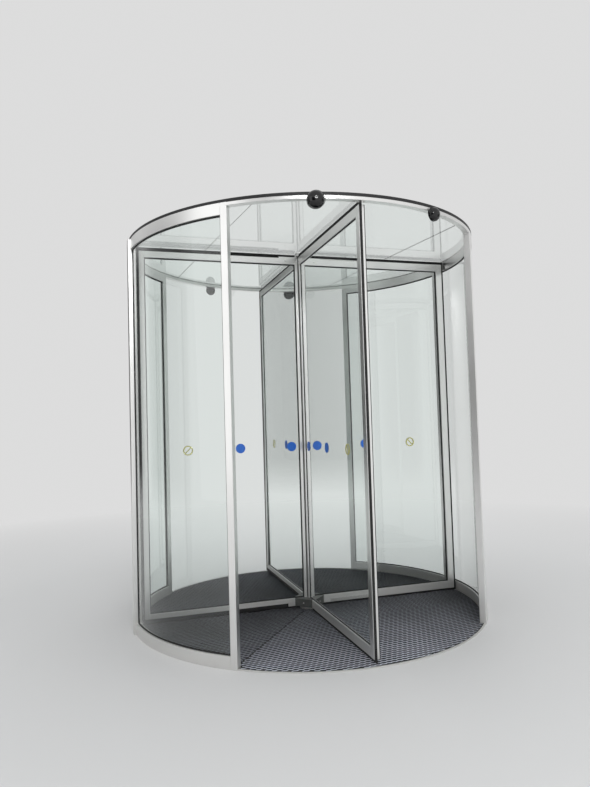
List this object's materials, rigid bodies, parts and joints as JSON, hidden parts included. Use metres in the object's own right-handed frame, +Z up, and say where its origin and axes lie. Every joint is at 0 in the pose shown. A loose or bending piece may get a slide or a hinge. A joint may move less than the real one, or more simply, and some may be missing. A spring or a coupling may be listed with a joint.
{
  "type": "revolving door",
  "caption": "All-glass automatic revolving door: curved glass drum with brushed stainless frame, glass ceiling, flush mat, and four turning glass wings on a central shaft.",
  "frame": {"origin": "centre of the drum on the finished floor", "axes": "+X along the facade to the right as seen from outside, +Y into the building, +Z up"},
  "size_m": [2.73, 2.7, 2.842],
  "materials": {
    "brushed_stainless": "satin brushed along each bar",
    "turned_steel": "turned, satin",
    "dark_metal": "dark, satin",
    "clear_glass": "clear, faintly green",
    "black_trim": "black, satin",
    "black_rubber": "matt black brush and rubber",
    "ribbed_mat": "dark grey, ribbed",
    "sensor_black": "glossy black"
  },
  "bodies": {
    "drum": {"left_bottom_rail": "brushed_stainless", "left_top_rail": "brushed_stainless", "left_wall_post": "brushed_stainless", "front_left_post": "brushed_stainless", "front_left_glass": "clear_glass", "rear_left_post": "brushed_stainless", "rear_left_glass": "clear_glass", "right_bottom_rail": "brushed_stainless", "right_top_rail": "brushed_stainless", "right_wall_post": "brushed_stainless", "front_right_post": "brushed_stainless", "front_right_glass": "clear_glass", "rear_right_post": "brushed_stainless", "rear_right_glass": "clear_glass", "front_header": "brushed_stainless", "front_sensor": "sensor_black", "front_side_sensor": "sensor_black", "rear_header": "brushed_stainless", "rear_sensor": "sensor_black", "rear_side_sensor": "sensor_black", "ceiling_glass": "clear_glass", "ceiling_trim": "black_trim", "entrance_mat": "ribbed_mat", "mat_edge_strips": "brushed_stainless", "floor_bearing": "turned_steel", "top_bearing": "turned_steel"},
    "wings": {"central_shaft": "dark_metal", "foot_hub": "dark_metal", "right_wing_rails": "brushed_stainless", "right_wing_stiles": "brushed_stainless", "right_wing_glass": "clear_glass", "right_wing_seals": "black_rubber", "rear_wing_rails": "brushed_stainless", "rear_wing_stiles": "brushed_stainless", "rear_wing_glass": "clear_glass", "rear_wing_seals": "black_rubber", "left_wing_rails": "brushed_stainless", "left_wing_stiles": "brushed_stainless", "left_wing_glass": "clear_glass", "left_wing_seals": "black_rubber", "front_wing_rails": "brushed_stainless", "front_wing_stiles": "brushed_stainless", "front_wing_glass": "clear_glass", "front_wing_seals": "black_rubber"}
  },
  "joints": [
    {"name": "wing_turn", "type": "hinge", "parent": "drum", "child": "wings", "pos_m": [0, 0, 0], "axis": [0, 0, 1], "continuous": true}
  ]
}
